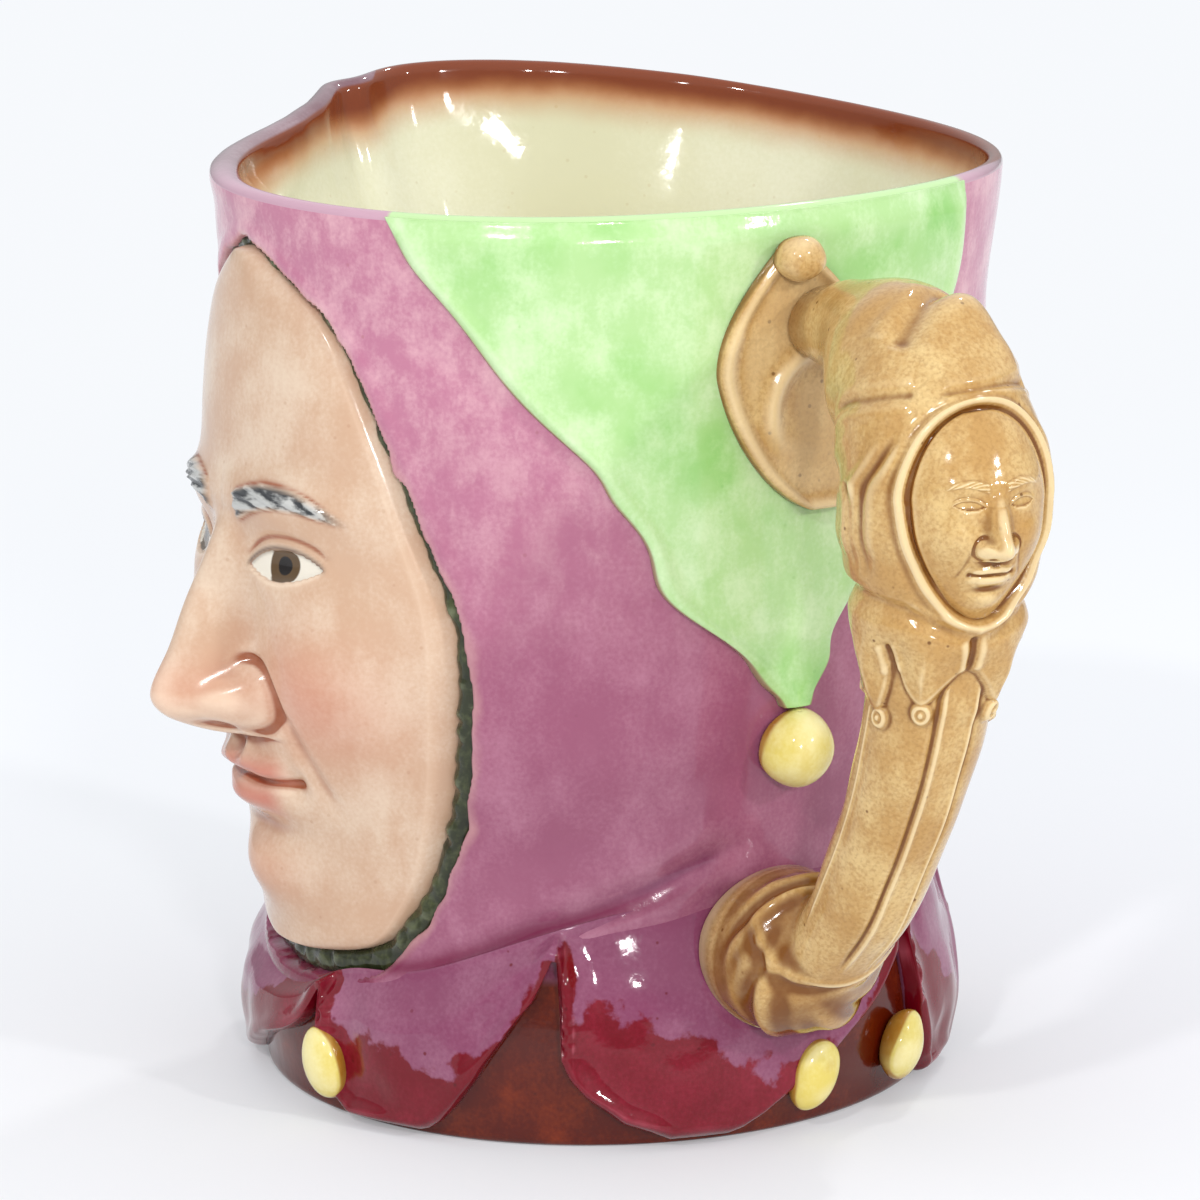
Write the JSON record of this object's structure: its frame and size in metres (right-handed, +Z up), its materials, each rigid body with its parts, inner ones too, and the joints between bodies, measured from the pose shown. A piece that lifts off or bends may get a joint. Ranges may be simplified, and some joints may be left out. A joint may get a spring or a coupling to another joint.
{
  "type": "character jug",
  "caption": "Glazed earthenware character jug: a jester's hooded head as the vessel, with a pouring spout, bells on flaps and collar, and a fool's-stick handle.",
  "frame": {"origin": "middle of the flat base, on the standing surface and on the vessel's axis", "axes": "+Z up, -Y the way the face looks, +X towards the handle, -X towards the pouring spout"},
  "size_m": [0.2102, 0.167, 0.178],
  "materials": {
    "hood_glaze": "glossy mauve underglaze colour, brown and cream inside",
    "face_glaze": "glossy flesh colour with brown in the creases",
    "flap_glaze": "glossy light green, streaked",
    "bell_glaze": "glossy pale yellow",
    "collar_glaze": "glossy crimson over treacle brown",
    "handle_glaze": "glossy tan with brown in the creases"
  },
  "bodies": {
    "root": {"body": "hood_glaze", "face": "face_glaze", "flap_handle_side": "flap_glaze", "flap_spout_side": "flap_glaze", "flap_bell_handle_side": "bell_glaze", "flap_bell_spout_side": "bell_glaze", "collar": "collar_glaze", "collar_bell_1": "bell_glaze", "collar_bell_2": "bell_glaze", "collar_bell_3": "bell_glaze", "collar_bell_4": "bell_glaze", "collar_bell_5": "bell_glaze", "collar_bell_6": "bell_glaze", "handle_pad": "handle_glaze", "handle_knob": "handle_glaze", "handle": "handle_glaze", "handle_face": "handle_glaze"}
  },
  "joints": []
}
